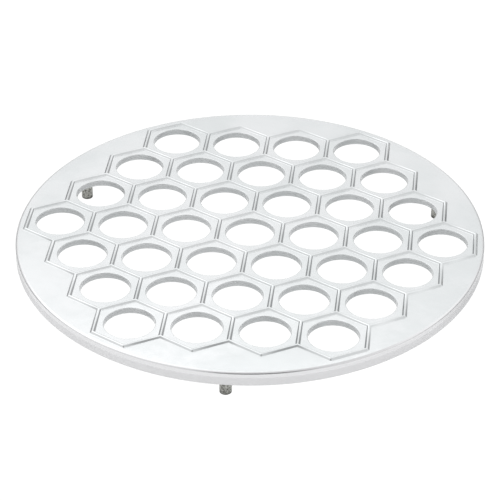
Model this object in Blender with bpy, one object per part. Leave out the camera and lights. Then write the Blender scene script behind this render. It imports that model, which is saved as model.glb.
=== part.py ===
"""Dumpling mould: a round cast aluminium plate on three pin legs.

The plate has thirty-seven round cutting holes, each in a hexagonal cell between low tapered ridges.
Dough is laid over the ridges, filled, covered and rolled, and the dumplings drop through the holes.
Metres, +Z up. The origin lies on the table under the middle of the plate, and the front is -Y.
"""
import math

import bmesh
import bpy
from mathutils import Matrix, Vector

# Cells
CELLS_ACROSS = 7
HOLE_DIAMETER = 0.0258
LAND_WIDTH = 0.00275
HOLE_SEGMENTS = 30
HOLE_EDGE_ROUND = 0.0003

# Ridges between the cells and round the honeycomb
RIDGE_HEIGHT = 0.0009
CREST_WIDTH = 0.0008
FLANK_RUN = 0.0008
OUTER_RUN = 0.0009
CREST_ROUND = 0.0002
FOOT_FILLET = 0.0003

# Plate and its turned-down rim
PLATE_THICKNESS = 0.0034
RIM_LAND = 0.001
RIM_DROP = 0.0042
RIM_THICKNESS = 0.0014
RIM_DRAFT = 0.0008
CROWN_RUN = 0.0019
CROWN_DROP = 0.0009
CROWN_STEPS = 3
RIM_EDGE_ROUND = 0.0005
RIM_FILLET = 0.0015
RIM_FILLET_STEPS = 1
RIM_SEGMENTS = 96

# Leg bosses under the plate
LEG_COUNT = 3
BOSS_TO_RIM = 0.0011
BOSS_WALL = 0.002
BOSS_DRAFT = 0.0003
BOSS_FILLET = 0.0008
BOSS_END_ROUND = 0.0004
BOSS_SEGMENTS = 20
SEAT_CAP = 0.0024
FIT_GAP = 0.0003

# Pin legs
LEG_DIAMETER = 0.0062
LEG_REACH = 0.0122
LEG_CHAMFER = 0.0004

# Sizes that follow from those above
RIDGE_WIDTH = CREST_WIDTH + 2 * FLANK_RUN
PITCH = HOLE_DIAMETER + 2 * LAND_WIDTH + RIDGE_WIDTH
ROW_STEP = PITCH * math.sqrt(3) / 2
CORNER_RADIUS = PITCH / math.sqrt(3)
OUTER_FOOT = PITCH / 2 + CREST_WIDTH / 2 + OUTER_RUN + FOOT_FILLET
HONEYCOMB_REACH = math.hypot((CELLS_ACROSS - 1) / 2 * PITCH + OUTER_FOOT, OUTER_FOOT / math.sqrt(3))
MARGIN_RADIUS = HONEYCOMB_REACH + RIM_LAND
PLATE_RADIUS = MARGIN_RADIUS + CROWN_RUN
RIM_INNER = PLATE_RADIUS - RIM_THICKNESS
UNDERSIDE_RADIUS = RIM_INNER - RIM_DRAFT - RIM_FILLET
RIM_BOTTOM = LEG_REACH
UNDERSIDE = RIM_BOTTOM + RIM_DROP
PLATE_TOP = UNDERSIDE + PLATE_THICKNESS
CREST_TOP = PLATE_TOP + RIDGE_HEIGHT
SEAT_TOP = PLATE_TOP - SEAT_CAP
SEAT_RADIUS = LEG_DIAMETER / 2 + FIT_GAP
BOSS_RADIUS = SEAT_RADIUS + BOSS_WALL
BOSS_FOOT_RADIUS = BOSS_RADIUS + BOSS_FILLET
LEG_CIRCLE_RADIUS = UNDERSIDE_RADIUS - BOSS_TO_RIM - BOSS_FOOT_RADIUS
MIDDLE = Vector((0, 0, 0))
WELD_DISTANCE = 0.00001


def material(name, colour, roughness, metallic):
    """A Principled material of one colour."""
    made = bpy.data.materials.new(name)
    made.use_nodes = True
    shader = made.node_tree.nodes["Principled BSDF"]
    shader.inputs["Base Color"].default_value = (*colour, 1.0)
    shader.inputs["Roughness"].default_value = roughness
    shader.inputs["Metallic"].default_value = metallic
    return made


def cell_centres():
    """Middles of the cells: rows of 4, 5, 6, 7, 6, 5 and 4, each row half a pitch from its neighbours."""
    half = CELLS_ACROSS // 2
    centres = []
    for row in range(-half, half + 1):
        count = CELLS_ACROSS - abs(row)
        for place in range(count):
            centres.append(Vector(((place - (count - 1) / 2) * PITCH, row * ROW_STEP, 0)))
    return centres


def leg_places():
    """Name and place of each leg. They stand a third of a turn apart, the first at the front."""
    places = []
    for number, name in enumerate(("leg_front", "leg_back_right", "leg_back_left")):
        angle = -math.pi / 2 + number * 2 * math.pi / LEG_COUNT
        places.append((name, Vector((math.cos(angle), math.sin(angle), 0)) * LEG_CIRCLE_RADIUS))
    return places


def ring(bm, radius, segments, centre, z):
    """A circle of edges about a place."""
    place = Matrix.Translation((centre.x, centre.y, z))
    made = bmesh.ops.create_circle(bm, segments=segments, radius=radius, matrix=place)
    return list(dict.fromkeys(edge for vert in made["verts"] for edge in vert.link_edges))


def arc(middle, across, along, steps):
    """Points of a quarter ellipse about a middle, from the end of one half-axis to that of the other."""
    turns = [math.pi / 2 * step / steps for step in range(steps + 1)]
    return [middle + math.cos(turn) * across + math.sin(turn) * along for turn in turns]


def turn_profile(bm, profile, segments, centre):
    """Turns a line of (radius, height) points about an upright axis through a place."""
    axis = Vector((centre.x, centre.y, 0))
    verts = [bm.verts.new((axis.x + point[0], axis.y, point[1])) for point in profile]
    edges = [bm.edges.new(pair) for pair in zip(verts, verts[1:])]
    bmesh.ops.spin(
        bm, geom=verts + edges, cent=axis, axis=(0, 0, 1), angle=2 * math.pi, steps=segments, use_merge=True
    )


def flat(bm, bounds):
    """Fills the level stretch between loops of edges, and gives its faces."""
    filled = bmesh.ops.triangle_fill(bm, use_beauty=True, edges=bounds, normal=(0, 0, 1))
    return [part for part in filled["geom"] if isinstance(part, bmesh.types.BMFace)]


def honeycomb_sheet(bm, z):
    """A flat sheet: one hexagonal face for each cell, and the margin from the cells to the crowned edge."""
    corners = []
    for centre in cell_centres():
        place = Matrix.Translation((centre.x, centre.y, z))
        made = bmesh.ops.create_circle(
            bm, cap_ends=True, segments=6, radius=CORNER_RADIUS, matrix=place
        )
        corners += made["verts"]
    bmesh.ops.remove_doubles(bm, verts=corners, dist=WELD_DISTANCE)
    kept = [vert for vert in corners if vert.is_valid]
    cells = list(dict.fromkeys(face for vert in kept for face in vert.link_faces))
    sides = dict.fromkeys(edge for cell in cells for edge in cell.edges)
    outline = [edge for edge in sides if len(edge.link_faces) == 1]
    margin = flat(bm, outline + ring(bm, MARGIN_RADIUS, RIM_SEGMENTS, MIDDLE, z))
    return cells, margin


def ridge_side(run):
    """How far in and down each strip of a ridge's side goes: half crest, rounded edge, flank and fillet."""
    slope = run / RIDGE_HEIGHT
    straight = RIDGE_HEIGHT - CREST_ROUND - FOOT_FILLET
    return [
        (CREST_WIDTH / 2 - CREST_ROUND / 2, 0),
        (CREST_ROUND / 2 + CREST_ROUND * slope, CREST_ROUND),
        (straight * slope, straight),
        (FOOT_FILLET * slope + FOOT_FILLET, FOOT_FILLET),
    ]


def lower(bm, faces, depth):
    """Moves faces straight down."""
    verts = dict.fromkeys(vert for face in faces for vert in face.verts)
    bmesh.ops.translate(bm, verts=list(verts), vec=(0, 0, -depth))


def raise_ridges(bm, cells, margin):
    """Sinks the cells one by one, and the margin in one piece, so that the ridges stay standing."""
    for inward, depth in ridge_side(FLANK_RUN):
        bmesh.ops.inset_individual(bm, faces=cells, thickness=inward, use_even_offset=True)
        lower(bm, cells, depth)
    for inward, depth in ridge_side(OUTER_RUN):
        bmesh.ops.inset_region(
            bm, faces=margin, thickness=inward, use_even_offset=True, use_boundary=False
        )
        lower(bm, margin, depth)


def open_cells(bm, cells):
    """Opens a round hole in every cell face. Gives the loop of edges round each hole."""
    loops = []
    for centre in cell_centres():
        cell = min(cells, key=lambda face: (face.calc_center_median() - centre).to_2d().length)
        cells.remove(cell)
        sides = list(cell.edges)
        bmesh.ops.delete(bm, geom=[cell], context="FACES_ONLY")
        loop = ring(bm, HOLE_DIAMETER / 2 + HOLE_EDGE_ROUND, HOLE_SEGMENTS, centre, PLATE_TOP)
        flat(bm, sides + loop)
        loops.append(loop)
    return loops


def underside(bm):
    """The flat underside, open at the holes and at the bosses. Gives the loop of edges round each hole."""
    radius = HOLE_DIAMETER / 2
    loops = [ring(bm, radius, HOLE_SEGMENTS, centre, UNDERSIDE) for centre in cell_centres()]
    bounds = [edge for loop in loops for edge in loop]
    bounds += ring(bm, UNDERSIDE_RADIUS, RIM_SEGMENTS, MIDDLE, UNDERSIDE)
    for _, place in leg_places():
        bounds += ring(bm, BOSS_FOOT_RADIUS, BOSS_SEGMENTS, place, UNDERSIDE)
    flat(bm, bounds)
    return loops


def line_holes(bm, upper, lower):
    """Walls each hole from its rounded upper edge down to the underside."""
    for above, centre, below in zip(upper, cell_centres(), lower):
        edge = ring(bm, HOLE_DIAMETER / 2, HOLE_SEGMENTS, centre, PLATE_TOP - HOLE_EDGE_ROUND)
        bmesh.ops.bridge_loops(bm, edges=above + edge)
        bmesh.ops.bridge_loops(bm, edges=edge + below)


def rim_profile():
    """Section of the rim from the margin, over the crowned edge and down, and up its drafted inner side."""
    crown = arc(
        Vector((MARGIN_RADIUS, PLATE_TOP - CROWN_DROP)),
        Vector((0, CROWN_DROP)),
        Vector((CROWN_RUN, 0)),
        CROWN_STEPS,
    )
    fillet = arc(
        Vector((UNDERSIDE_RADIUS, UNDERSIDE - RIM_FILLET)),
        Vector((RIM_FILLET, 0)),
        Vector((0, RIM_FILLET)),
        RIM_FILLET_STEPS,
    )
    edge = [
        Vector((PLATE_RADIUS, RIM_BOTTOM + RIM_EDGE_ROUND)),
        Vector((PLATE_RADIUS - RIM_EDGE_ROUND, RIM_BOTTOM)),
        Vector((RIM_INNER + RIM_EDGE_ROUND, RIM_BOTTOM)),
        Vector((RIM_INNER, RIM_BOTTOM + RIM_EDGE_ROUND)),
    ]
    return crown + edge + fillet


def boss_profile():
    """Section of a leg boss from the plate's underside down its drafted side, and up its blind seat."""
    end = BOSS_RADIUS - BOSS_DRAFT
    return [
        Vector((BOSS_FOOT_RADIUS, UNDERSIDE)),
        Vector((BOSS_RADIUS, UNDERSIDE - BOSS_FILLET)),
        Vector((end, RIM_BOTTOM + BOSS_END_ROUND)),
        Vector((end - BOSS_END_ROUND, RIM_BOTTOM)),
        Vector((SEAT_RADIUS, RIM_BOTTOM)),
        Vector((SEAT_RADIUS, SEAT_TOP)),
        Vector((0, SEAT_TOP)),
    ]


def leg_profile():
    """Half section of a pin leg from the middle of its foot to the middle of its top."""
    radius = LEG_DIAMETER / 2
    top = SEAT_TOP - FIT_GAP
    return [
        Vector((0, 0)),
        Vector((radius - LEG_CHAMFER, 0)),
        Vector((radius, LEG_CHAMFER)),
        Vector((radius, top - LEG_CHAMFER)),
        Vector((radius - LEG_CHAMFER, top)),
        Vector((0, top)),
    ]


def finished(bm, name, finish, centre=MIDDLE):
    """Welds a closed shape, turns its faces outwards, and makes it an object with its origin at a place."""
    bmesh.ops.remove_doubles(bm, verts=bm.verts, dist=WELD_DISTANCE)
    bmesh.ops.recalc_face_normals(bm, faces=bm.faces)
    bmesh.ops.translate(bm, verts=bm.verts, vec=-centre)
    mesh = bpy.data.meshes.new(name)
    bm.to_mesh(mesh)
    bm.free()
    mesh.shade_smooth()
    mesh.set_sharp_from_angle(angle=math.radians(30))
    mesh.materials.append(finish)
    made = bpy.data.objects.new(name, mesh)
    made.location = centre
    bpy.context.scene.collection.objects.link(made)
    return made


def mould_plate(finish):
    """The casting: plate, ridges, holes, turned-down rim and the three leg bosses."""
    bm = bmesh.new()
    cells, margin = honeycomb_sheet(bm, CREST_TOP)
    raise_ridges(bm, cells, margin)
    line_holes(bm, open_cells(bm, cells), underside(bm))
    turn_profile(bm, rim_profile(), RIM_SEGMENTS, MIDDLE)
    for _, place in leg_places():
        turn_profile(bm, boss_profile(), BOSS_SEGMENTS, place)
    return finished(bm, "mould_plate", finish)


def pin_leg(name, place, finish):
    """One turned pin, pushed up into the blind seat of its boss."""
    bm = bmesh.new()
    turn_profile(bm, leg_profile(), BOSS_SEGMENTS, place)
    return finished(bm, name, finish, place)


def main():
    """Clears the scene and builds the mould."""
    for old in list(bpy.data.objects):
        bpy.data.objects.remove(old)
    aluminium = material("cast_aluminium", (0.80, 0.81, 0.82), 0.34, 1.0)
    leg_metal = material("leg_metal", (0.34, 0.34, 0.31), 0.5, 1.0)
    plate = mould_plate(aluminium)
    for name, place in leg_places():
        leg = pin_leg(name, place, leg_metal)
        leg.parent = plate


main()
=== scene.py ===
"""Dumpling mould: a round cast aluminium plate on three pin legs, at its full fineness.

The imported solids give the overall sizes, and the plate and its legs are modelled again over them
with every round, fillet and chamfer, in metres with +Z up and the front of the mould at -Y.
"""
import math

import bmesh
import bpy
from bpy.props import FloatProperty, FloatVectorProperty, IntProperty, PointerProperty
from mathutils import Matrix, Vector


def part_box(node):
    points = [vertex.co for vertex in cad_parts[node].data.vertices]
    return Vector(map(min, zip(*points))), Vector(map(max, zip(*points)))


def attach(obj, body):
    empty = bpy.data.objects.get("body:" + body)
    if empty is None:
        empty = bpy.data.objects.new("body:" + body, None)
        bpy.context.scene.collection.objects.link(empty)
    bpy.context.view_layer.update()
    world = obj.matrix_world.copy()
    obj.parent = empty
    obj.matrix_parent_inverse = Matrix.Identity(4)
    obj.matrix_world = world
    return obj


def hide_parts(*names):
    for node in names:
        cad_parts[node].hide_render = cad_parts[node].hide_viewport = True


bl_info = {
    "name": "Dumpling Mould",
    "version": (1, 0, 0),
    "blender": (4, 5, 0),
    "location": "3D View > Sidebar > Mould",
    "description": "Builds a round dumpling mould: holes, honeycomb ridges, turned-down rim and pin legs",
    "category": "Object",
}

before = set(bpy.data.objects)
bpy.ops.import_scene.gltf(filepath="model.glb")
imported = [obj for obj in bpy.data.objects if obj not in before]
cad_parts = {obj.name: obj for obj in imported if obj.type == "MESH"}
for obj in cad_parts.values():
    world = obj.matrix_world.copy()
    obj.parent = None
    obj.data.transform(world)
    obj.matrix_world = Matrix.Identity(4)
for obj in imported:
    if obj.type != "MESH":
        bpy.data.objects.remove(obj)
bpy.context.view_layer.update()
PLATE_LOW, PLATE_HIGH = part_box("mould_plate")
LEG_LOW, LEG_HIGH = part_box("leg_front")
MIDDLE = Vector((0, 0, 0))
WELD_DISTANCE = 0.000002

# Sides of the round shapes, and the steps in each rounding
RIM_SIDES = 288
HOLE_SIDES = 96
LEG_SIDES = 48
RIDGE_STEPS = 5
CORNER_STEPS = 4
HOLE_EDGE_STEPS = 4
CROWN_STEPS = 10
RIM_END_STEPS = 5
RIM_FILLET_STEPS = 8
BOSS_FILLET_STEPS = 6
BOSS_END_STEPS = 4
PIN_END_STEPS = 5
FLAT_FACES_WEIGHT = 90

# Patterns in the metals: how many to the metre, how much detail and how rough
CLOUDS = (26.0, 3.0)
PATCHES = (150.0, 5.0, 0.6)
GRAIN = (1700.0, 4.0, 0.6)
TURNING_LINES = (5200.0, 2.0)
SPECKS = (900.0, 5.0, 0.65)
RINGS = (3500.0, 2.0)

# Depth of the relief in the metals, in metres
WAVE_DEPTH = 0.0002
GRAIN_DEPTH = 0.00001
TURNING_DEPTH = 0.000004
SPECK_DEPTH = 0.00003
RING_DEPTH = 0.00001

# Where finishes, painted shade and the floor's shade pass into each other: in metres, or as a share of a
# ridge's height or of a pattern
CREST_FROM = 0.6
UNWORKED_OVER = (0.0002, 0.0009)
# Painted shade on the hole walls: full below 0.7 mm under the land, none above 0.4 mm, and none within 4 mm
# of the rim's edge
HOLE_SHADE_UNDER = (0.0007, 0.0004)
HOLE_SHADE_INSIDE = (0.005, 0.004)
DULL_SHARE = (0.5, 0.85)
PATCH_SHARE = 0.35
SPECK_SHARE = (0.35, 0.6)
# Painted shade at the foot of each leg: darkest below 0.4 mm, gone by 2.4 mm up
PAINTED_FOOT_SHADE = (0.0004, 0.0024)
FLOOR_SHADE_REACH = (0.112, 0.125)
FLOOR_SHADE_DEPTH = (-0.07, -0.02)

# How much the patterns and the polish change the roughness, and the underside the grain
PATCH_ROUGHNESS = 0.12
CREST_POLISH = -0.08
UNWORKED_GRAIN = 2.0
SPECK_ROUGHNESS = -0.2

# Where the parts of the studio pass into each other, as parts of a direction one long
FLOOR_TO_WALL = (0.0, 0.25)
WALL_TO_PANEL = (0.56, 0.64)
PANEL_TO_CEILING = (0.74, 0.9)
NEAR_TO_FAR = (-0.25, 0.25)
PANEL_ACROSS = (-0.12, 0.08)
CEILING_ACROSS = (-0.25, 0.05)
NEAR_ACROSS = (-0.5, 0.5)
CORNERS_MIDDLE = -0.09
CORNERS_ASIDE = (0.15, 0.35)
CORNERS_TOP = (0.3, 0.45)
SHADE_DEPTH = (-0.6, -0.15)
SHADE_MIDDLE = 0.13
SHADE_ASIDE = (0.2, 0.42)

# The floor and the camera
WHITE = (1.0, 1.0, 1.0, 1.0)
FLOOR_SIZE = 6.0
FLOOR_ROUGHNESS = 0.9
SENSOR_WIDTH = 36.0
FARTHEST_SEEN = 20.0
AIM_ACROSS = 0.002055
AIM_FRONT = 0.016601
AIM_UNDER_CRESTS = 0.00148


def length(name, description, default):
    """A size in metres that the panel shows."""
    return FloatProperty(
        name=name, description=description, default=default, min=0.0, precision=5, unit="LENGTH"
    )


def amount(name, description, default, most=1.0):
    """A plain number from nought to a highest value."""
    return FloatProperty(
        name=name, description=description, default=default, min=0.0, max=most, subtype="FACTOR"
    )


def angle(name, description, degrees):
    """A turn, given in degrees."""
    return FloatProperty(name=name, description=description, default=math.radians(degrees), unit="ROTATION")


def colour(name, description, default):
    """A linear colour."""
    return FloatVectorProperty(
        name=name, description=description, default=default, min=0.0, max=1.0, subtype="COLOR"
    )


class CellSizes(bpy.types.PropertyGroup):
    """Sizes of the cells: cutting holes and the ridges between them."""

    across: IntProperty(name="Cells across", description="Cells in the middle row", default=7, min=3)
    hole: length("Hole", "Diameter of each cutting hole", 0.0258)
    hole_edge: length("Hole edge", "Round on the upper edge of each hole", 0.0003)
    hole_chamfer: length("Hole chamfer", "Chamfer on the lower edge of each hole", 0.0002)
    land: length("Land", "Flat from a hole to the ridge beside it", 0.00275)
    ridge: length("Ridge height", "Height of the ridges over the land", 0.0009)
    crest: length("Crest", "Width of a ridge across its top", 0.0008)
    flank: length("Flank", "How far each side of a ridge runs out on its way down", 0.0008)
    outer_flank: length("Outer flank", "How far the outer side of the honeycomb runs out", 0.0009)
    crest_round: length("Crest round", "Radius along the top edges of the ridges", 0.0006)
    foot_fillet: length("Foot fillet", "Radius where the ridges meet the land", 0.0004)
    corner_round: length("Corner round", "How far the honeycomb's outer corners are rounded back", 0.00018)


class RimSizes(bpy.types.PropertyGroup):
    """Sizes of the disc and its turned-down rim."""

    radius: length("Radius", "Outer radius of the plate", PLATE_HIGH.x)
    thickness: length("Plate thickness", "Thickness of the disc", 0.0034)
    wall: length("Rim wall", "Thickness of the turned-down rim at its lower edge", 0.0014)
    draft: length("Rim draft", "How much thicker the rim is where it meets the plate", 0.0008)
    crown_run: length("Crown run", "How far in the rounded upper edge reaches", 0.0015)
    crown_drop: length("Crown drop", "How far down the rounded upper edge reaches", 0.0011)
    edge_round: length("Lower round", "Radius along the rim's lower edges", 0.0005)
    fillet: length("Fillet", "Radius between the rim and the underside", 0.0015)


class LegSizes(bpy.types.PropertyGroup):
    """Sizes of the bosses and the pins that stand in them."""

    circle: length("Leg circle", "Radius of the circle the legs stand on", -(LEG_LOW.y + LEG_HIGH.y) / 2)
    pin: length("Pin", "Diameter of a pin leg", LEG_HIGH.x - LEG_LOW.x)
    chamfer: length("Pin chamfer", "Rounded end of a pin leg", 0.0004)
    clearance: length("Clearance", "Gap between a pin and its seat", 0.0003)
    boss_wall: length("Boss wall", "Metal round the seat of a pin", 0.002)
    boss_draft: length("Boss draft", "How much a boss narrows towards its end", 0.0003)
    boss_fillet: length("Boss fillet", "Radius at the foot of a boss", 0.0008)
    boss_round: length("Boss round", "Radius round the end of a boss", 0.0004)


class FinishLook(bpy.types.PropertyGroup):
    """Colours and texture of the two metals, with painted shade on the hole walls and at the feet of the
    legs.
    """

    plate: colour("Plate", "Cast aluminium where it is bright", (0.499, 0.508, 0.5145))
    plate_cool: colour("Plate, cool", "Cast aluminium in its duller, cooler patches", (0.459, 0.474, 0.479))
    turned_edge: colour("Turned edge", "Aluminium of the turned edge, past the crown", (0.503, 0.504, 0.511))
    # Painted shade: the hole walls are made darker in colour to stand in for the shade inside the holes
    hole_wall_shade: amount("Hole walls", "Brightness of the cut walls of the holes beside the plate", 0.82)
    plate_roughness: amount("Plate roughness", "How dull the upper side of the plate is", 0.24)
    cast_roughness: amount("Cast roughness", "How dull the unworked underside is", 0.52)
    leg: colour("Leg", "Leg metal where it is bright", (0.38, 0.38, 0.355))
    leg_dark: colour("Leg, dark", "Leg metal in its dark specks", (0.10, 0.10, 0.09))
    # Painted shade: the lower end of each leg is made darker in colour to stand in for the shade near the
    # floor
    leg_foot_shade: amount("Leg, foot", "Brightness of the shaded foot of a leg beside the rest", 0.5)
    leg_roughness: amount("Leg roughness", "How dull the legs are", 0.28)


class StageLook(bpy.types.PropertyGroup):
    """The floor, the light round the mould and the camera."""

    floor: colour("Floor", "Colour of the floor", (0.82, 0.82, 0.82))
    glow: amount("Floor glow", "Brightness of the lit floor", 1.06, 4.0)
    bounce: amount("Floor bounce", "Light the floor adds from beneath", 0.47, 4.0)
    low_wall: amount("Low wall", "Brightness of the far wall near the floor", 1.0, 4.0)
    wall: amount("Wall", "Brightness of the far wall halfway up", 1.45, 4.0)
    panel_left: amount("Panel, left", "Brightness of the high panel to the left", 2.6, 4.0)
    panel_right: amount("Panel, right", "Brightness of the high panel to the right", 1.9, 4.0)
    ceiling_left: amount("Ceiling, left", "Brightness overhead to the left", 2.1, 4.0)
    ceiling_right: amount("Ceiling, right", "Brightness overhead to the right", 1.25, 4.0)
    near_left: amount("Near, left", "Brightness on the camera's side, to the left", 1.38, 4.0)
    near_right: amount("Near, right", "Brightness on the camera's side, to the right", 1.35, 4.0)
    corners: amount("Far corners", "How much darker the far corners are near the floor", 0.4)
    shade: amount("Camera-side shade", "How much darker the studio is behind the camera", 0.7)
    side_shade: amount("Floor shade", "How much less the floor glows beside and behind the plate", 0.7)
    lens: FloatProperty(name="Lens", description="Focal length of the camera", default=153.48, unit="CAMERA")
    distance: length("Distance", "From the camera to the point it looks at", 1.1097)
    azimuth: angle("Azimuth", "Turn of the camera from the front", 6.1009)
    elevation: angle("Elevation", "Rise of the camera over the plate", 33.9178)
    roll: angle("Roll", "Tilt of the picture", -0.0442)


# Shapes


def cell_centres(cells):
    """Middles of the cells: rows of 4, 5, 6, 7, 6, 5 and 4, each row half a pitch from its neighbours."""
    pitch = cell_pitch(cells)
    half = cells.across // 2
    centres = []
    for row in range(-half, half + 1):
        count = cells.across - abs(row)
        for place in range(count):
            x = (place - (count - 1) / 2) * pitch
            centres.append(Vector((x, row * pitch * math.sqrt(3) / 2, 0)))
    return centres


def cell_pitch(cells):
    """Distance between neighbouring cells."""
    return cells.hole + 2 * cells.land + cells.crest + 2 * cells.flank


def leg_places(legs):
    """The node each leg stands for, and its place on the leg circle."""
    places = []
    for number, name in enumerate(("leg_front", "leg_back_right", "leg_back_left")):
        turn = -math.pi / 2 + number * 2 * math.pi / 3
        places.append((name, Vector((math.cos(turn), math.sin(turn), 0)) * legs.circle))
    return places


def ring(bm, radius, segments, centre, z):
    """A circle of edges about a place."""
    place = Matrix.Translation((centre.x, centre.y, z))
    made = bmesh.ops.create_circle(bm, segments=segments, radius=radius, matrix=place)
    return list(dict.fromkeys(edge for vert in made["verts"] for edge in vert.link_edges))


def flat(bm, bounds):
    """Fills the level stretch between loops of edges, and gives its faces."""
    filled = bmesh.ops.triangle_fill(bm, use_beauty=True, edges=bounds, normal=(0, 0, 1))
    return [part for part in filled["geom"] if isinstance(part, bmesh.types.BMFace)]


def arc(middle, across, along, steps):
    """Points of a quarter ellipse about a middle, from the end of one half-axis to that of the other."""
    middle, across, along = Vector(middle), Vector(across), Vector(along)
    turns = [math.pi / 2 * step / steps for step in range(steps + 1)]
    return [middle + math.cos(turn) * across + math.sin(turn) * along for turn in turns]


def add_turned(bm, profile, segments, centres):
    """Turns a line of (radius, height) points about the upright axis, and sets the result at each place."""
    turned = bmesh.new()
    verts = [turned.verts.new((point[0], 0, point[1])) for point in profile]
    edges = [turned.edges.new(pair) for pair in zip(verts, verts[1:])]
    line = verts + edges
    bmesh.ops.spin(turned, geom=line, axis=(0, 0, 1), angle=2 * math.pi, steps=segments, use_merge=True)
    mesh = bpy.data.meshes.new("turned")
    turned.to_mesh(mesh)
    turned.free()
    for centre in centres:
        before = len(bm.verts)
        bm.from_mesh(mesh)
        bm.verts.ensure_lookup_table()
        bmesh.ops.translate(bm, verts=bm.verts[before:], vec=centre)
    bpy.data.meshes.remove(mesh)


def ridge_strips(cells, run):
    """How far in and how far down each strip of a ridge's side goes, from its middle line to its foot."""
    lean = math.atan2(cells.ridge, run)
    turns = [lean * step / RIDGE_STEPS for step in range(RIDGE_STEPS + 1)]
    over = [(math.sin(b) - math.sin(a), math.cos(a) - math.cos(b)) for a, b in zip(turns, turns[1:])]
    crest = [(across * cells.crest_round, drop * cells.crest_round) for across, drop in over]
    foot = [(across * cells.foot_fillet, drop * cells.foot_fillet) for across, drop in reversed(over)]
    straight = cells.ridge - sum(drop for _, drop in crest + foot)
    level = cells.crest / 2 - cells.crest_round * math.tan(lean / 2)
    return [(level, 0.0)] + crest + [(straight / math.tan(lean), straight)] + foot


def honeycomb_sheet(bm, cells, z):
    """Level sheet of hexagons with a pocket face inset in each. Gives the pockets and the rounded outline."""
    corners = []
    for centre in cell_centres(cells):
        place = Matrix.Translation((centre.x, centre.y, z))
        radius = cell_pitch(cells) / math.sqrt(3)
        made = bmesh.ops.create_circle(bm, cap_ends=True, segments=6, radius=radius, matrix=place)
        corners += made["verts"]
    bmesh.ops.remove_doubles(bm, verts=corners, dist=WELD_DISTANCE)
    pockets = list(bm.faces)
    across, _ = ridge_strips(cells, cells.flank)[0]
    bmesh.ops.inset_individual(bm, faces=pockets, thickness=across, use_even_offset=True)
    bmesh.ops.bevel(
        bm,
        geom=[vert for vert in bm.verts if vert.is_boundary and len(vert.link_faces) == 2],
        offset=cells.corner_round,
        offset_type="OFFSET",
        segments=CORNER_STEPS,
        profile=0.5,
        affect="VERTICES",
        material=-1,
    )
    pockets = sorted(bm.faces, key=lambda face: face.calc_area())[-len(cell_centres(cells)):]
    outline = [edge for edge in bm.edges if edge.is_boundary]
    return pockets, outline


def lower(bm, faces, depth):
    """Moves faces straight down."""
    verts = dict.fromkeys(vert for face in faces for vert in face.verts)
    bmesh.ops.translate(bm, verts=list(verts), vec=(0, 0, -depth))


def raise_ridges(bm, cells, pockets, margin):
    """Lowers the pockets and the margin strip by strip, so that the rounded ridges stay standing."""
    for across, drop in ridge_strips(cells, cells.flank)[1:]:
        bmesh.ops.inset_individual(bm, faces=pockets, thickness=across, use_even_offset=True)
        lower(bm, pockets, drop)
    for across, drop in ridge_strips(cells, cells.outer_flank):
        bmesh.ops.inset_region(
            bm, faces=margin, thickness=across, use_even_offset=True, use_boundary=False
        )
        lower(bm, margin, drop)


def open_holes(bm, cells, pockets, land, underside):
    """Cuts a round hole with a rounded upper edge in every pocket. Gives the loops of edges left below."""
    radius = cells.hole / 2
    edge = cells.hole_edge
    upper = radius + edge
    mouth = radius + cells.hole_chamfer
    wall = arc((upper, land - edge), (0, edge), (-edge, 0), HOLE_EDGE_STEPS)
    wall += [Vector((radius, underside + cells.hole_chamfer)), Vector((mouth, underside))]
    loops = []
    for centre in cell_centres(cells):
        pocket = min(pockets, key=lambda face: (face.calc_center_median() - centre).to_2d().length)
        pockets.remove(pocket)
        sides = list(pocket.edges)
        bmesh.ops.delete(bm, geom=[pocket], context="FACES_ONLY")
        flat(bm, sides + ring(bm, upper, HOLE_SIDES, centre, land))
        loops += ring(bm, mouth, HOLE_SIDES, centre, underside)
    add_turned(bm, wall, HOLE_SIDES, cell_centres(cells))
    return loops


def rim_profile(rim, top, underside, bottom):
    """Section of the rim from the margin, over the crowned edge and down, to the fillet under the plate."""
    inner = rim.radius - rim.wall
    run, drop, end = rim.crown_run, rim.crown_drop, rim.edge_round
    crown = arc((rim.radius - run, top - drop), (0, drop), (run, 0), CROWN_STEPS)
    out = arc((rim.radius - end, bottom + end), (end, 0), (0, -end), RIM_END_STEPS)
    back = arc((inner + end, bottom + end), (0, -end), (-end, 0), RIM_END_STEPS)
    corner = (inner - rim.draft - rim.fillet, underside - rim.fillet)
    fillet = arc(corner, (rim.fillet, 0), (0, rim.fillet), RIM_FILLET_STEPS)
    return crown + out + back + fillet


def boss_profile(legs, underside, bottom):
    """Section of a leg boss from the underside down its drafted side, round its end and up its seat."""
    seat = legs.pin / 2 + legs.clearance
    side = seat + legs.boss_wall
    end = side - legs.boss_draft
    foot, turn = legs.boss_fillet, legs.boss_round
    fillet = arc((side + foot, underside - foot), (0, foot), (-foot, 0), BOSS_FILLET_STEPS)
    lip = arc((end - turn, bottom + turn), (turn, 0), (0, -turn), BOSS_END_STEPS)
    roof = LEG_HIGH.z + legs.clearance
    return fillet + lip + [Vector((seat, bottom)), Vector((seat, roof)), Vector((0, roof))]


def pin_profile(legs):
    """Half section of a pin leg from the middle of its foot to the middle of its top."""
    radius, end = legs.pin / 2, legs.chamfer
    foot = arc((radius - end, end), (0, -end), (end, 0), PIN_END_STEPS)
    head = arc((radius - end, LEG_HIGH.z - end), (end, 0), (0, end), PIN_END_STEPS)
    return [Vector((0, 0))] + foot + head + [Vector((0, LEG_HIGH.z))]


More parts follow.
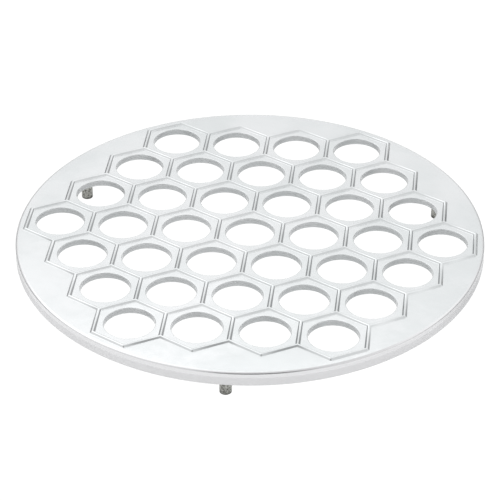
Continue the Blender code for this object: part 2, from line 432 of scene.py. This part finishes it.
def finished_piece(bm, name, metal):
    """Welds a closed shape, turns its faces outwards and makes it a smooth piece at the origin."""
    bmesh.ops.remove_doubles(bm, verts=bm.verts, dist=WELD_DISTANCE)
    bmesh.ops.recalc_face_normals(bm, faces=bm.faces)
    mesh = bpy.data.meshes.new(name)
    bm.to_mesh(mesh)
    bm.free()
    mesh.shade_smooth()
    mesh.set_sharp_from_angle(angle=math.radians(40))
    mesh.materials.append(metal)
    piece = bpy.data.objects.new(name, mesh)
    bpy.context.scene.collection.objects.link(piece)
    shading = piece.modifiers.new("even_shading", "WEIGHTED_NORMAL")
    shading.mode = "FACE_AREA"
    shading.weight = FLAT_FACES_WEIGHT
    shading.keep_sharp = True
    return piece


# Finishes


def add_node(tree, kind, inputs, **settings):
    """A node with its settings, whose sockets are given numbers or the sockets that feed them."""
    made = tree.nodes.new(kind)
    for name, value in settings.items():
        setattr(made, name, value)
    for name, value in inputs.items():
        if isinstance(value, bpy.types.NodeSocket):
            tree.links.new(value, made.inputs[name])
        else:
            made.inputs[name].default_value = value
    return made


def maths(tree, operation, *values):
    """The result of a sum on up to three numbers or sockets."""
    return add_node(tree, "ShaderNodeMath", dict(enumerate(values)), operation=operation).outputs[0]


def between(tree, value, low, high, at_low=0.0, at_high=1.0):
    """A smooth change from one number to another as a value goes from low to high."""
    made = add_node(
        tree,
        "ShaderNodeMapRange",
        {"Value": value, "From Min": low, "From Max": high, "To Min": at_low, "To Max": at_high},
        interpolation_type="SMOOTHSTEP",
    )
    return made.outputs[0]


def speckle(tree, place, scale, detail, roughness=0.5):
    """A cloudy pattern of a size, from nought to one."""
    inputs = {"Vector": place, "Scale": scale, "Detail": detail, "Roughness": roughness}
    return add_node(tree, "ShaderNodeTexNoise", inputs).outputs["Fac"]


def blend_colours(tree, share, first, second):
    """A mix of two colours."""
    made = tree.nodes.new("ShaderNodeMix")
    made.data_type = "RGBA"
    sockets = {"Factor": share, "A": first, "B": second}
    for socket in [found for found in made.inputs if found.enabled and found.name in sockets]:
        value = sockets[socket.name]
        if isinstance(value, bpy.types.NodeSocket):
            tree.links.new(value, socket)
        elif socket.name == "Factor":
            socket.default_value = value
        else:
            socket.default_value = (*value, 1.0)
    return [found for found in made.outputs if found.enabled][0]


def relief(tree, height, depth, under=None):
    """Surface relief of a depth in metres, on top of another."""
    inputs = {"Height": height, "Distance": depth, "Strength": 1.0}
    if under is not None:
        inputs["Normal"] = under
    return add_node(tree, "ShaderNodeBump", inputs).outputs["Normal"]


def metal_base(name):
    """A new metal. Gives the material, its node tree, its shader and the place on the piece."""
    made = bpy.data.materials.new(name)
    made.use_nodes = True
    tree = made.node_tree
    shader = tree.nodes["Principled BSDF"]
    shader.inputs["Metallic"].default_value = 1.0
    place = tree.nodes.new("ShaderNodeTexCoord").outputs["Object"]
    return made, tree, shader, place


def scaled(tree, tint, share):
    """A colour made darker by a share."""
    return add_node(tree, "ShaderNodeVectorMath", {0: tint, 3: share}, operation="SCALE").outputs[0]


def reach_of(tree, place):
    """Distance of a place from the middle."""
    return add_node(tree, "ShaderNodeVectorMath", {0: place}, operation="LENGTH").outputs["Value"]


def parts_of(tree, place):
    """The three parts of a place or a direction: across, back and up."""
    parts = add_node(tree, "ShaderNodeSeparateXYZ", {"Vector": place})
    return parts.outputs["X"], parts.outputs["Y"], parts.outputs["Z"]


def cast_aluminium(look, cells, rim, land, underside):
    """Bright satin casting: faint patches, polished crests, turned edge, a duller, grainy underside and
    painted shade darkening the hole walls.
    """
    made, tree, shader, place = metal_base("cast_aluminium")
    _, _, height = parts_of(tree, place)
    plan = {0: place, 1: (1.0, 1.0, 0.0)}
    flat_place = add_node(tree, "ShaderNodeVectorMath", plan, operation="MULTIPLY").outputs[0]
    reach = reach_of(tree, flat_place)

    crest = between(tree, height, land + cells.ridge * CREST_FROM, land + cells.ridge)
    low, high = UNWORKED_OVER
    unworked = between(tree, height, underside + low, underside + high, 1.0, 0.0)
    turned = between(tree, reach, rim.radius - rim.crown_run, rim.radius - rim.crown_run / 2)

    clouds = speckle(tree, place, *CLOUDS)
    patches = speckle(tree, place, *PATCHES)
    grain = speckle(tree, place, *GRAIN)

    dull = between(tree, maths(tree, "MULTIPLY_ADD", patches, PATCH_SHARE, clouds), *DULL_SHARE)
    tint = blend_colours(tree, dull, look.plate, look.plate_cool)
    tint = blend_colours(tree, turned, tint, look.turned_edge)
    # Painted shade: the hole walls, under the round of their upper edge and away from the rim, are darkened
    # in colour
    low, high = HOLE_SHADE_UNDER
    wall = between(tree, height, land - low, land - high, 1.0, 0.0)
    wall = maths(tree, "MULTIPLY", wall, maths(tree, "SUBTRACT", 1.0, unworked))
    low, high = HOLE_SHADE_INSIDE
    inside = between(tree, reach, rim.radius - low, rim.radius - high, 1.0, 0.0)
    wall = maths(tree, "MULTIPLY", wall, inside)
    tint = scaled(tree, tint, maths(tree, "MULTIPLY_ADD", wall, look.hole_wall_shade - 1.0, 1.0))
    tree.links.new(tint, shader.inputs["Base Color"])

    roughness = maths(
        tree, "MULTIPLY_ADD", patches, PATCH_ROUGHNESS, look.plate_roughness - PATCH_ROUGHNESS / 2
    )
    roughness = maths(tree, "MULTIPLY_ADD", crest, CREST_POLISH, roughness)
    rougher = look.cast_roughness - look.plate_roughness
    roughness = maths(tree, "MULTIPLY_ADD", unworked, rougher, roughness)
    tree.links.new(roughness, shader.inputs["Roughness"])

    section = add_node(tree, "ShaderNodeCombineXYZ", {"X": reach, "Y": height}).outputs[0]
    lines = maths(tree, "MULTIPLY", speckle(tree, section, *TURNING_LINES), turned)
    grain = maths(tree, "MULTIPLY", grain, maths(tree, "MULTIPLY_ADD", unworked, UNWORKED_GRAIN, 1.0))
    waves = relief(tree, clouds, WAVE_DEPTH)
    skin = relief(tree, grain, GRAIN_DEPTH, waves)
    tree.links.new(relief(tree, lines, TURNING_DEPTH, skin), shader.inputs["Normal"])
    return made


def leg_metal(look):
    """Dull turned pin: dark specks, faint rings round it and painted shade darkening its foot."""
    made, tree, shader, place = metal_base("leg_metal")
    _, _, height = parts_of(tree, place)
    specks = speckle(tree, place, *SPECKS)
    tint = blend_colours(tree, between(tree, specks, *SPECK_SHARE), look.leg_dark, look.leg)
    # Painted shade: the colour darkens towards the foot of the leg, near the floor
    tint = scaled(tree, tint, between(tree, height, *PAINTED_FOOT_SHADE, look.leg_foot_shade, 1.0))
    tree.links.new(tint, shader.inputs["Base Color"])
    middling = look.leg_roughness - SPECK_ROUGHNESS / 2
    roughness = maths(tree, "MULTIPLY_ADD", specks, SPECK_ROUGHNESS, middling)
    tree.links.new(roughness, shader.inputs["Roughness"])
    up = add_node(tree, "ShaderNodeCombineXYZ", {"Z": height}).outputs[0]
    rings = relief(tree, speckle(tree, up, *RINGS), RING_DEPTH)
    tree.links.new(relief(tree, specks, SPECK_DEPTH, rings), shader.inputs["Normal"])
    return made


def lit_floor(look):
    """Pale floor, lit from beneath so that it shows white, and less so beside and behind the plate."""
    made = bpy.data.materials.new("lit_floor")
    made.use_nodes = True
    tree = made.node_tree
    shader = tree.nodes["Principled BSDF"]
    shader.inputs["Base Color"].default_value = (*look.floor, 1.0)
    shader.inputs["Roughness"].default_value = FLOOR_ROUGHNESS
    shader.inputs["Emission Color"].default_value = WHITE
    place = tree.nodes.new("ShaderNodeTexCoord").outputs["Object"]
    _, depth, _ = parts_of(tree, place)
    outside = between(tree, reach_of(tree, place), *FLOOR_SHADE_REACH)
    beside = maths(tree, "MULTIPLY", outside, between(tree, depth, *FLOOR_SHADE_DEPTH))
    lit = maths(tree, "MULTIPLY_ADD", beside, -look.side_shade, 1.0)
    tree.links.new(maths(tree, "MULTIPLY", lit, look.bounce), shader.inputs["Emission Strength"])
    glow = add_node(tree, "ShaderNodeEmission", {"Color": WHITE, "Strength": look.glow})
    seen = tree.nodes.new("ShaderNodeLightPath").outputs["Is Camera Ray"]
    mixed = add_node(tree, "ShaderNodeMixShader", {0: seen, 1: shader.outputs[0], 2: glow.outputs[0]})
    tree.links.new(mixed.outputs[0], tree.nodes["Material Output"].inputs["Surface"])
    return made


def studio_light(look):
    """Soft light from all round: brightest high on the left, darker on the right and behind the camera."""
    world = bpy.data.worlds.new("studio_light")
    world.use_nodes = True
    tree = world.node_tree
    toward = tree.nodes.new("ShaderNodeTexCoord").outputs["Generated"]
    across, depth, rise = parts_of(tree, toward)

    panel = between(tree, across, *PANEL_ACROSS, look.panel_left, look.panel_right)
    ceiling = between(tree, across, *CEILING_ACROSS, look.ceiling_left, look.ceiling_right)
    near = between(tree, across, *NEAR_ACROSS, look.near_left, look.near_right)
    far = between(tree, rise, *FLOOR_TO_WALL, look.low_wall, look.wall)
    aside = maths(tree, "ABSOLUTE", maths(tree, "SUBTRACT", across, CORNERS_MIDDLE))
    low_down = between(tree, rise, *CORNERS_TOP, look.corners, 0.0)
    corner = maths(tree, "MULTIPLY", between(tree, aside, *CORNERS_ASIDE), low_down)
    far = maths(tree, "MULTIPLY", far, maths(tree, "SUBTRACT", 1.0, corner))
    far = between(tree, rise, *WALL_TO_PANEL, far, panel)
    far = between(tree, rise, *PANEL_TO_CEILING, far, ceiling)
    sky = between(tree, depth, *NEAR_TO_FAR, near, far)

    behind = between(tree, depth, *SHADE_DEPTH, look.shade, 0.0)
    aside = maths(tree, "ABSOLUTE", maths(tree, "SUBTRACT", across, SHADE_MIDDLE))
    dark = maths(tree, "MULTIPLY", behind, between(tree, aside, *SHADE_ASIDE, 1.0, 0.0))
    strength = maths(tree, "MULTIPLY", sky, maths(tree, "SUBTRACT", 1.0, dark))
    tree.links.new(strength, tree.nodes["Background"].inputs["Strength"])
    tree.nodes["Background"].inputs["Color"].default_value = WHITE
    return world


def aim_camera(look, aim):
    """A camera at a turn, rise and distance from the point it looks at."""
    turn, rise, roll = look.azimuth, look.elevation, look.roll
    back = Vector((math.sin(turn) * math.cos(rise), -math.cos(turn) * math.cos(rise), math.sin(rise)))
    across = Vector((math.cos(turn), math.sin(turn), 0))
    upward = back.cross(across)
    right = math.cos(roll) * across + math.sin(roll) * upward
    up = math.cos(roll) * upward - math.sin(roll) * across
    lens = bpy.data.cameras.new("camera")
    lens.sensor_width = SENSOR_WIDTH
    lens.lens = look.lens
    lens.clip_end = FARTHEST_SEEN
    camera = bpy.data.objects.new("camera", lens)
    turned = Matrix((right, up, back)).transposed().to_4x4()
    camera.matrix_world = Matrix.Translation(aim + back * look.distance) @ turned
    bpy.context.scene.collection.objects.link(camera)
    bpy.context.scene.camera = camera


class MOULD_OT_plate(bpy.types.Operator):
    """Cast plate with its holes, ridges, turned-down rim and leg bosses"""

    bl_idname = "mould.plate"
    bl_label = "Cast Plate"
    bl_options = {"REGISTER", "UNDO"}

    def execute(self, context):
        cells = context.scene.mould_cells
        rim = context.scene.mould_rim
        legs = context.scene.mould_legs
        land = PLATE_HIGH.z - cells.ridge
        underside = land - rim.thickness
        bm = bmesh.new()
        pockets, outline = honeycomb_sheet(bm, cells, PLATE_HIGH.z)
        crown_start = ring(bm, rim.radius - rim.crown_run, RIM_SIDES, MIDDLE, PLATE_HIGH.z)
        margin = flat(bm, outline + crown_start)
        raise_ridges(bm, cells, pockets, margin)
        bounds = open_holes(bm, cells, pockets, land, underside)
        bounds += ring(bm, rim.radius - rim.wall - rim.draft - rim.fillet, RIM_SIDES, MIDDLE, underside)
        add_turned(bm, rim_profile(rim, land, underside, PLATE_LOW.z), RIM_SIDES, [MIDDLE])
        boss = boss_profile(legs, underside, PLATE_LOW.z)
        places = [place for _, place in leg_places(legs)]
        for place in places:
            bounds += ring(bm, boss[0].x, LEG_SIDES, place, underside)
        add_turned(bm, boss, LEG_SIDES, places)
        flat(bm, bounds)
        metal = cast_aluminium(context.scene.mould_finish, cells, rim, land, underside)
        piece = finished_piece(bm, "cast_plate", metal)
        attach(piece, "root")
        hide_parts("mould_plate")
        return {"FINISHED"}


class MOULD_OT_legs(bpy.types.Operator):
    """Three turned pin legs standing in the bosses of the plate"""

    bl_idname = "mould.legs"
    bl_label = "Pin Legs"
    bl_options = {"REGISTER", "UNDO"}

    def execute(self, context):
        legs = context.scene.mould_legs
        metal = leg_metal(context.scene.mould_finish)
        for node, place in leg_places(legs):
            bm = bmesh.new()
            add_turned(bm, pin_profile(legs), LEG_SIDES, [place])
            piece = finished_piece(bm, node.replace("leg", "pin_leg"), metal)
            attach(piece, "root")
            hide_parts(node)
        return {"FINISHED"}


class MOULD_OT_stage(bpy.types.Operator):
    """Pale floor, soft studio light and the camera"""

    bl_idname = "mould.stage"
    bl_label = "Stage"
    bl_options = {"REGISTER", "UNDO"}

    def execute(self, context):
        look = context.scene.mould_stage
        bm = bmesh.new()
        bmesh.ops.create_grid(bm, x_segments=1, y_segments=1, size=FLOOR_SIZE)
        mesh = bpy.data.meshes.new("floor")
        bm.to_mesh(mesh)
        bm.free()
        mesh.materials.append(lit_floor(look))
        floor = bpy.data.objects.new("floor", mesh)
        context.scene.collection.objects.link(floor)
        context.scene.world = studio_light(look)
        context.scene.view_settings.view_transform = "Standard"
        aim_camera(look, Vector((AIM_ACROSS, -AIM_FRONT, PLATE_HIGH.z - AIM_UNDER_CRESTS)))
        return {"FINISHED"}


class MOULD_PT_panel(bpy.types.Panel):
    """Sizes, finishes and stage of the mould"""

    bl_label = "Dumpling Mould"
    bl_idname = "MOULD_PT_panel"
    bl_space_type = "VIEW_3D"
    bl_region_type = "UI"
    bl_category = "Mould"

    def draw(self, context):
        for group, title in GROUPS.items():
            box = self.layout.box()
            box.label(text=title)
            settings = getattr(context.scene, group)
            for name in settings.bl_rna.properties.keys():
                if name not in ("rna_type", "name"):
                    box.prop(settings, name)
        for operator in (MOULD_OT_plate, MOULD_OT_legs, MOULD_OT_stage):
            self.layout.operator(operator.bl_idname)


GROUPS = {
    "mould_cells": "Cells",
    "mould_rim": "Disc and rim",
    "mould_legs": "Bosses and legs",
    "mould_finish": "Finishes",
    "mould_stage": "Stage",
}
SETTINGS = (CellSizes, RimSizes, LegSizes, FinishLook, StageLook)
CLASSES = SETTINGS + (MOULD_OT_plate, MOULD_OT_legs, MOULD_OT_stage, MOULD_PT_panel)


def register():
    """Adds the settings, operators and panel."""
    for made in CLASSES:
        bpy.utils.register_class(made)
    for group, settings in zip(GROUPS, SETTINGS):
        setattr(bpy.types.Scene, group, PointerProperty(type=settings))


def unregister():
    """Takes the settings, operators and panel away."""
    for group in GROUPS:
        delattr(bpy.types.Scene, group)
    for made in reversed(CLASSES):
        bpy.utils.unregister_class(made)


def main():
    """Builds the mould and its stage."""
    register()
    bpy.ops.mould.plate()
    bpy.ops.mould.legs()
    bpy.ops.mould.stage()


if __name__ == "__main__":
    main()
